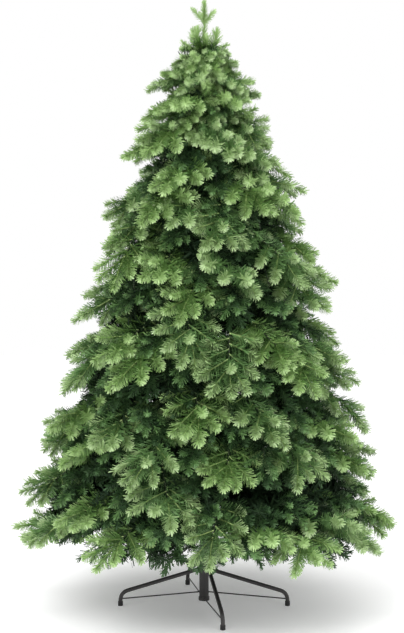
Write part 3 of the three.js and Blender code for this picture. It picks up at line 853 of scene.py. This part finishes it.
def grow_bough(growth, tier, bough):
    """One bough's wire, its outer sprays, its inner palms and its fill."""
    space = BoughSpace(tier)
    turn = FIRST_TURN + tier * TIER_TURN + bough * 2 * math.pi / BOUGHS_PER_TIER[tier]
    about = Matrix.Rotation(turn, 3, "Z")
    length = space.core_reach - space.pole_clear
    line = [about @ space.at(space.pole_clear + s * length, 0, 0) for s in BOUGH_SHARES]
    radii = [BOUGH_RADIUS - BOUGH_THINNING * s for s in BOUGH_SHARES]
    growth.boughs.append(list(zip(line, radii)))
    draw = draw_from(500 * (tier + 1) + 20 * bough + 5)
    fill_draw = draw_from(300 * (tier + 1) + 30 * bough + 11)
    scale = min(1.0, LEAST_SCALE + SCALE_PER_METRE * space.spray_length)
    for root, end, roll, proud in sprays_of(tier, bough, space):
        root, end = placed(about, root, end)
        forward = (end - root).normalized()
        out, size, pairs = PROUD if proud else MODEST
        end += forward * (push_at(end) + out)
        start = line[2 + int(draw() * 3)]
        middle = (start + root) / 2 + Vector((0, 0, TWIG_ARCH * (draw() - 0.3)))
        # Drawn-in palms below the open top get darker tips as painted shade
        kept = growth.outer if proud or end.z > OPEN_HEIGHT else growth.modest
        foot, palm = grow_palm(kept, pairs, end, forward, roll, size * scale, draw)
        growth.twigs.append(list(zip((start, middle, root, foot, palm), TWIG_RADII)))
        for _ in range(FILL_PER_TWIG):
            grow_fill(growth, [start, middle, root], fill_draw)
    for root, end, roll in inner_sprays(tier, space):
        root, end = placed(about, root, end)
        forward = Vector((end.x, end.y, 0))
        # Inner palms get the darker tips of painted shade, and half shade near the top
        kept = growth.modest if end.z > OPEN_HEIGHT else growth.inner
        foot, palm = grow_palm(kept, INNER_PAIRS, end, forward, roll, scale, draw)
        growth.twigs.append(list(zip((line[4], root, foot, palm), TWIG_RADII[1:])))
    for _ in range(int(FILL_PER_METRE * length)):
        grow_fill(growth, line, fill_draw)


growth = Growth()
for tier in range(TIERS):
    for bough in range(BOUGHS_PER_TIER[tier]):
        grow_bough(growth, tier, bough)
print("lines:", len(growth.boughs), len(growth.twigs), len(growth.fill))
print("tips:", len(growth.outer), "outer,", len(growth.modest), "modest,", len(growth.inner), "inner")

# %% [markdown]
# The leader is one slim shoot on top, with two whorls round its neck: three thin shoots
# above, and below them five plump brushes that bow out, so that they end upright. Two short
# sprigs stand at their foot. The draws are those of the solids again.

# %% The leader
HEIGHT = 2.286
WHORL_STEP = 0.006
WHORL_SWAY = 0.3
STRETCH_SWAY = 0.24
LEADER_WHORLS = [
    {"height": 2.112, "shoots": 5, "out": 0.060, "rise": 0.084, "turn": 0.1},
    {"height": 2.190, "shoots": 3, "out": 0.050, "rise": 0.055, "turn": 0.5},
]


def whorl_shoots():
    """Root and tip of each shoot of the two whorls."""
    draw = draw_from(77)
    whorls = []
    for whorl in LEADER_WHORLS:
        shoots = []
        for i in range(whorl["shoots"]):
            angle = whorl["turn"] + (i + sway(draw, WHORL_SWAY)) * 2 * math.pi / whorl["shoots"]
            stretch = 1 + sway(draw, STRETCH_SWAY)
            root = Vector((0, 0, whorl["height"] + WHORL_STEP * i))
            out = whorl["out"]
            way = Vector((out * math.cos(angle), out * math.sin(angle), whorl["rise"]))
            shoots.append((root, root + way * stretch))
        whorls.append(shoots)
    return whorls


SHOOT_SHARES = (0, 0.2, 0.45, 0.72, 1)
SHOOT_TAPER = 0.6


def shoot_line(root, tip, radius, needled=0.94, bow=0.0):
    """A shoot's wire, bowed out from the pole so that its end stands more upright."""
    out = Vector((tip.x - root.x, tip.y - root.y, 0)).normalized()
    line = []
    for s in SHOOT_SHARES:
        place = root.lerp(tip, s * needled) + out * (bow * math.sin(math.pi * s))
        line.append((place, radius * (1 - SHOOT_TAPER * s)))
    return line


PLUMP, SLIM = whorl_shoots()
PLUMP_ROOT_SINK = Vector((0, 0, -0.046))
PLUMP_TIP_SINK = Vector((0, 0, -0.016))
PLUMP_BOW = 0.014
PLUMP_RADIUS = 0.0020
SLIM_RADIUS = 0.0014
SPRIG_RADIUS = 0.0013
TOP_RADIUS = 0.0016
# How much of each brush's length is kept
PLUMP_SHARES = [0.80, 0.4, 0.74, 0.66, 0.36]
SPRIG_FOOT = Vector((0, 0, 2.070))
SPRIG_TIPS = [(-0.084, -0.02, 2.120), (0.090, -0.02, 2.108)]
TOP_FOOT = Vector((0, 0, 2.115))
TOP_END = Vector((0, 0, HEIGHT - 0.006))
plump_lines = []
for (root, tip), share in zip(PLUMP, PLUMP_SHARES):
    low, high = root + PLUMP_ROOT_SINK, tip + PLUMP_TIP_SINK
    plump_lines.append(shoot_line(low, high, PLUMP_RADIUS, share, PLUMP_BOW))
slim_lines = [shoot_line(root, tip, SLIM_RADIUS) for root, tip in SLIM]
slim_lines += [shoot_line(SPRIG_FOOT, Vector(tip), SPRIG_RADIUS) for tip in SPRIG_TIPS]
slim_lines.append(shoot_line(TOP_FOOT, TOP_END, TOP_RADIUS))
neck_line = [(Vector((0, 0, 2.0803)), 0.0042), (Vector((0, 0, 2.160)), 0.0022)]
print("leader shoots:", len(plump_lines), "plump,", len(slim_lines), "slim")

# %% [markdown]
# Now the lines become wires. Boughs get the ripple of the foil strip that is wound round
# them, and twigs are left plainer because there are hundreds.

# %% Wires
ALL_MASSES = [name for name in frame["nodes"] if name.startswith("mass_")]


def keep_piece(obj, nodes=()):
    """Shows a finished piece: it rides with the tree and stands for its solids."""
    bpy.context.scene.collection.objects.link(obj)
    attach(obj, "root")
    if nodes:
        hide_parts(*nodes)
    print(obj.name, len(obj.data.polygons), "faces")


wires = {"sides": 6, "step": 0.0052, "pitch": 0.013, "ripple": 0.16, "material": WRAPPED_WIRE}
boughs = grow("bough_wires", path_mesh("bough_lines", growth.boughs), WOUND_WIRE, **wires)
keep_piece(boughs, ALL_MASSES)
THIN_WIRES = [("twig_wires", growth.twigs, 5, 0.04), ("fill_wires", growth.fill, 3, 0.2)]
for name, lines, sides, step in THIN_WIRES:
    thin = wires | {"sides": sides, "step": step, "ripple": 0.0}
    made = grow(name, path_mesh(name + "_lines", lines), WOUND_WIRE, **thin)
    keep_piece(made, ALL_MASSES)

# %% [markdown]
# Dark needles line the boughs and twigs. On the real tree they are cut foil twisted into
# the wire, and they are what the eye meets between the moulded tips. Their near-black green
# is partly the foil's own dark green and partly painted shade, and the broad strips on the
# short twigs inside are dark sheets of painted shade.


# %% Dark lining
def line_with_needles(name, lines, needle, start, spacing, seed):
    sizes = {"needle": needle, "spacing": spacing, "start": start, "end": 1.0, "up": (0, 0, 1)}
    sizes |= {"foot_lean": 1.2, "tip_lean": 0.9, "tip_fan": 0.0, "parting": 0.0, "taper": 0.4}
    sizes["seed"] = seed
    made = grow(name, path_mesh(name + "_lines", lines), NEEDLED_STEM, material=SHADE_DARKENED_LINING, **sizes)
    keep_piece(made, ALL_MASSES)


line_with_needles("lining_boughs", growth.boughs, BOUGH_STRIP, 0.08, 0.0016, 21)
line_with_needles("lining_twigs", growth.twigs, LINING_NEEDLE, 0.1, 0.0042, 34)
line_with_needles("lining_fill", growth.fill, LINING_AND_SHADE_STRIP, 0.05, 0.0046, 55)

# %% [markdown]
# Now the moulded tips go onto the palms. Foot, fresh end and stem of a tip are dealt out over
# the same points, so they meet. Where one piece would get too heavy its palms are shared out
# over several, and those can have slightly different greens.


# %% Deal out the tips
def points_for(name, tips):
    """A point for each tip, with its turn, size and kind."""
    mesh = mesh_from(name, [tip.root for tip in tips], [])
    turns = []
    sizes = []
    for tip in tips:
        side = tip.up.cross(tip.direction).normalized()
        axes = Matrix((side, tip.direction.cross(side), tip.direction)).transposed()
        turns += list(axes.to_quaternion())
        sizes += [tip.girth, tip.girth, tip.length]
    mesh.attributes.new("turn", "QUATERNION", "POINT").data.foreach_set("value", turns)
    mesh.attributes.new("size", "FLOAT_VECTOR", "POINT").data.foreach_set("vector", sizes)
    kinds = [tip.kind for tip in tips]
    mesh.attributes.new("kind", "INT", "POINT").data.foreach_set("value", kinds)
    return mesh


PIECE_FACES = 190000


def deal(label, tips, part, *tints):
    """Tips of one part, in as many pieces as keep each under the limit. A palm has one tint."""
    most = max(len(tip.data.polygons) for tip in TIP_PARTS[part].objects)
    pieces = math.ceil(len(tips) * most / PIECE_FACES)
    for number in range(pieces):
        name = f"{label}_{number + 1}"
        points = points_for(name + "_points", [tip for tip in tips if tip.spray % pieces == number])
        tint = tints[number % len(tints)]
        made = grow(name, points, DEALT_TIPS, tips=TIP_PARTS[part], material=tint)
        keep_piece(made, ALL_MASSES)


deal("tips_grown", growth.outer, "grown", GROWN_TIPS, DULL_AND_HALF_SHADED_TIPS)
deal("tips_fresh", growth.outer, "fresh", NEW_TIPS, PALE_TIPS)
deal("tip_stems", growth.outer, "stem", SHOOT_STEM)
# Drawn-in and inner palms get darker greens as painted shade
deal("tips_modest_foot", growth.modest, "shaded_foot", SHADED_TIPS)
deal("tips_modest_end", growth.modest, "shaded_end", DULL_AND_HALF_SHADED_TIPS)
deal("tips_inner_foot", growth.inner, "shaded_foot", SHADED_TIPS)
deal("tips_inner_end", growth.inner, "shaded_end", SHADED_TIPS)

# %% [markdown]
# The leader is dressed with the same two trees. Its brushes have long needles, in a grown
# green at the foot and a fresh one at the end, and its slim shoots have short fresh ones.

# %% The leader's wires and needles
leader_wire = {"sides": 6, "step": 0.006, "pitch": 1.0, "ripple": 0.0, "material": SHOOT_STEM}
lines = path_mesh("leader_lines", plump_lines + slim_lines + [neck_line])
keep_piece(grow("leader_wires", lines, WOUND_WIRE, **leader_wire), ["leader"])
shoot = {"up": (0.3, 0.9, 0.1), "parting": 0.0, "foot_lean": 0.95, "tip_lean": 0.45, "tip_fan": 0.25}
shoot |= {"taper": 0.7, "seed": 5}
BRUSH_NEEDLE = needle_shape("brush_needle", 0.035, 0.0036, blunt=0.6)
SLIM_NEEDLE = needle_shape("slim_needle", 0.019, 0.0032, blunt=0.6)
LEADER_NEEDLES = [
    ("leader_plump_feet", plump_lines, BRUSH_NEEDLE, 0.00042, 0.05, 0.5, GROWN_TIPS),
    ("leader_plump_ends", plump_lines, BRUSH_NEEDLE, 0.00042, 0.5, 1.0, NEW_TIPS),
    ("leader_slim", slim_lines, SLIM_NEEDLE, 0.00055, 0.05, 1.0, NEW_TIPS),
]
for name, lines, needle, spacing, start, end, material in LEADER_NEEDLES:
    dealt = shoot | {"needle": needle, "spacing": spacing, "start": start, "end": end}
    lines = path_mesh(name + "_lines", lines)
    made = grow(name, lines, NEEDLED_STEM, material=material, **dealt)
    keep_piece(made, ["leader"])

# %% [markdown]
# The pole is three steel tubes that plug into each other. They are turned from a profile,
# with the edge of each tube rolled, and a shallow groove where the tube above is swaged
# down to fit.


# %% Turned parts
import bmesh


def turned(name, profile, material, sides=48, axis=(0, 0)):
    """A closed body turned round +Z from [radius, height] points, with smooth shading."""
    points = []
    faces = []
    count = len(profile)
    for k in range(sides):
        angle = 2 * math.pi * k / sides
        points += [(axis[0] + r * math.cos(angle), axis[1] + r * math.sin(angle), z) for r, z in profile]
    for k in range(sides):
        here, there = k * count, (k + 1) % sides * count
        faces += [(here + i, there + i, there + i + 1, here + i + 1) for i in range(count - 1)]
    mesh = mesh_from(name, points, faces)
    mesh.materials.append(material)
    tidy_mesh(mesh)
    return bpy.data.objects.new(name, mesh)


def tidy_mesh(mesh):
    """Merges doubled points at the poles and seams, points faces outwards and smooths them."""
    body = bmesh.new()
    body.from_mesh(mesh)
    bmesh.ops.remove_doubles(body, verts=body.verts, dist=1e-6)
    bmesh.ops.recalc_face_normals(body, faces=body.faces)
    body.to_mesh(mesh)
    body.free()
    mesh.shade_smooth()
    mesh.set_sharp_from_angle(angle=math.radians(35))


def rounded(radius, height, rise, steps=4, inwards=1):
    """Points of a quarter round that ends a wall of that radius."""
    turn = [i * math.pi / 2 / steps for i in range(steps + 1)]
    return [(radius - inwards * rise * (1 - math.cos(a)), height + rise * math.sin(a)) for a in turn]


def tube_profile(outer, foot, top, wall=0.0015):
    inner = outer - wall
    lip = wall / 2
    outside = [(outer - 0.0006, foot), (outer, foot + 0.0008), (outer, foot + 0.003)]
    pressed = outer - 0.0005
    groove = [(outer, top - 0.030), (pressed, top - 0.028), (pressed, top - 0.025), (outer, top - 0.023)]
    end = rounded(outer, top - lip, lip) + rounded(inner, top - lip, lip, inwards=-1)[::-1]
    return [(inner, foot), *outside, *groove, *end, (inner, top - 0.08), (inner, foot)]


CLEARANCE = 0.0003
POLE_FEET = {"pole_lower": 0.0253, "pole_middle": 0.780 + CLEARANCE, "pole_upper": 1.420 + CLEARANCE}
for (name, foot), (top, outer) in zip(POLE_FEET.items(), POLE_STEPS):
    keep_piece(turned(name + "_tube", tube_profile(outer, foot, top), POLE_COAT), [name])
# Radius and height of the rod's profile, with the plug at its foot and its rounded end
rod = [(0, 1.8003), (0.0106, 1.8003), (0.0106, 1.8797), (0.0085, 1.8835), (0.006, 1.887), (0.005, 1.892)]
rod += [(0.005, 2.0795), (0.0045, 2.080), (0, 2.080)]
keep_piece(turned("pole_rod_bar", rod, POLE_COAT), ["pole_rod"])

# %% [markdown]
# The stand is bent steel tube under black powder coating. Each leg comes off a collar on
# the socket, slopes out, turns down through a tight knee and ends in a plastic cap. A thin
# rod braces it near the floor. Legs and rods are swept by the wire tree with no ripple.

# %% Stand
SOCKET_RADIUS = 0.018
SOCKET_FOOT = 0.022
SOCKET_TOP = 0.214
SOCKET_EDGE = 0.004
SOCKET_LIP = 0.0008
BORE_FOOT = 0.025
RING_RADIUS = 0.0208
LEG_REACH = 0.316
LEG_RADIUS = 0.0075
KNEE_HEIGHT = 0.050
KNEE_LENGTH = 0.030
FOOT_SOLE = 0.004
FOOT_RADIUS = 0.0096
FOOT_HEIGHT = 0.018
SOLE_EDGE = 0.0018
CAP_LIP = 0.0012
BRACE_RADIUS = 0.0025
BRACE_SINK = 0.001
KNEE_STEPS = 12

bore = POLE_STEPS[0][1] + CLEARANCE
edge = rounded(SOCKET_RADIUS, 0, SOCKET_EDGE)
socket = [(0, SOCKET_FOOT), *[(r, SOCKET_FOOT + SOCKET_EDGE - h) for r, h in edge][::-1]]
socket += rounded(SOCKET_RADIUS, SOCKET_TOP - SOCKET_LIP, SOCKET_LIP)
socket += [(bore, SOCKET_TOP), (bore, BORE_FOOT), (0, BORE_FOOT)]
keep_piece(turned("stand_socket_tube", socket, STAND_COAT), ["stand_socket"])


def ring_profile(foot, depth=0.014):
    inner = SOCKET_RADIUS + CLEARANCE
    edge = 0.0012
    low = [(r, foot + edge - h) for r, h in rounded(RING_RADIUS, 0, edge)][::-1]
    high = rounded(RING_RADIUS, foot + depth - edge, edge)
    return [(inner, foot), *low, *high, (inner, foot + depth), (inner, foot)]


for name, foot in (("upper", 0.180), ("lower", SOCKET_FOOT)):
    ring = turned(f"stand_ring_{name}_collar", ring_profile(foot), STAND_COAT)
    keep_piece(ring, [f"stand_ring_{name}"])


def leg_line(leg_height, hub):
    """A leg's middle line, from the hub over the knee down to the cap."""
    knee = Vector((LEG_REACH, 0, KNEE_HEIGHT))
    start = Vector((hub, 0, leg_height))
    stub = Vector((hub + LEG_RADIUS, 0, leg_height))
    slope = (knee - stub).normalized()
    bend_start = knee - slope * KNEE_LENGTH
    bend_end = Vector((LEG_REACH, 0, KNEE_HEIGHT - KNEE_LENGTH))
    shares = [i / KNEE_STEPS for i in range(KNEE_STEPS + 1)]
    bend = [bend_start.lerp(knee, s).lerp(knee.lerp(bend_end, s), s) for s in shares]
    return [start, stub, *bend, Vector((LEG_REACH, 0, FOOT_SOLE + CLEARANCE))]


# Leg's height at the hub, the hub's radius, and the brace's height at the hub and at the leg
FIXED_PAIR = (0.138, SOCKET_RADIUS, 0.053, 0.027)
FOLDING_PAIR = (0.187, RING_RADIUS, 0.029, 0.034)
LEGS = {
    "right": (0, FIXED_PAIR),
    "left": (math.pi, FIXED_PAIR),
    "front": (math.radians(12 - 90), FOLDING_PAIR),
    "back": (math.radians(12 + 90), FOLDING_PAIR),
}
steel = {"pitch": 1.0, "ripple": 0.0, "material": STAND_COAT}
sole = rounded(FOOT_RADIUS, 0, SOLE_EDGE)
foot_shape = [(0, 0), *[(r, SOLE_EDGE - h) for r, h in sole][::-1]]
foot_shape += [(FOOT_RADIUS, 0.006), (FOOT_RADIUS - 0.0003, 0.0064), (FOOT_RADIUS, 0.0068)]
foot_shape += rounded(FOOT_RADIUS, FOOT_HEIGHT - CAP_LIP, CAP_LIP)
sleeve = LEG_RADIUS + CLEARANCE
foot_shape += [(sleeve, FOOT_HEIGHT), (sleeve, FOOT_SOLE), (0, FOOT_SOLE)]
for name, (turn, (leg_height, hub, brace_height, brace_foot)) in LEGS.items():
    about = Matrix.Rotation(turn, 3, "Z")
    line = [(about @ p, LEG_RADIUS) for p in leg_line(leg_height, hub)]
    bent = path_mesh("leg_line", [line])
    leg = grow(f"stand_leg_{name}_tube", bent, WOUND_WIRE, sides=28, step=0.003, **steel)
    keep_piece(leg, [f"stand_leg_{name}"])
    inner = about @ Vector((hub, 0, brace_height))
    outer = about @ Vector((LEG_REACH - LEG_RADIUS + BRACE_SINK, 0, brace_foot))
    rod_line = path_mesh("brace_line", [[(inner, BRACE_RADIUS), (outer, BRACE_RADIUS)]])
    brace = grow(f"stand_brace_{name}_rod", rod_line, WOUND_WIRE, sides=16, step=0.02, **steel)
    keep_piece(brace, [f"stand_brace_{name}"])
    place = about @ Vector((LEG_REACH, 0, 0))
    cap = turned(f"stand_foot_{name}_cap", foot_shape, CAP_PLASTIC, axis=(place.x, place.y))
    keep_piece(cap, [f"stand_foot_{name}"])

# %% [markdown]

# %% End
import json
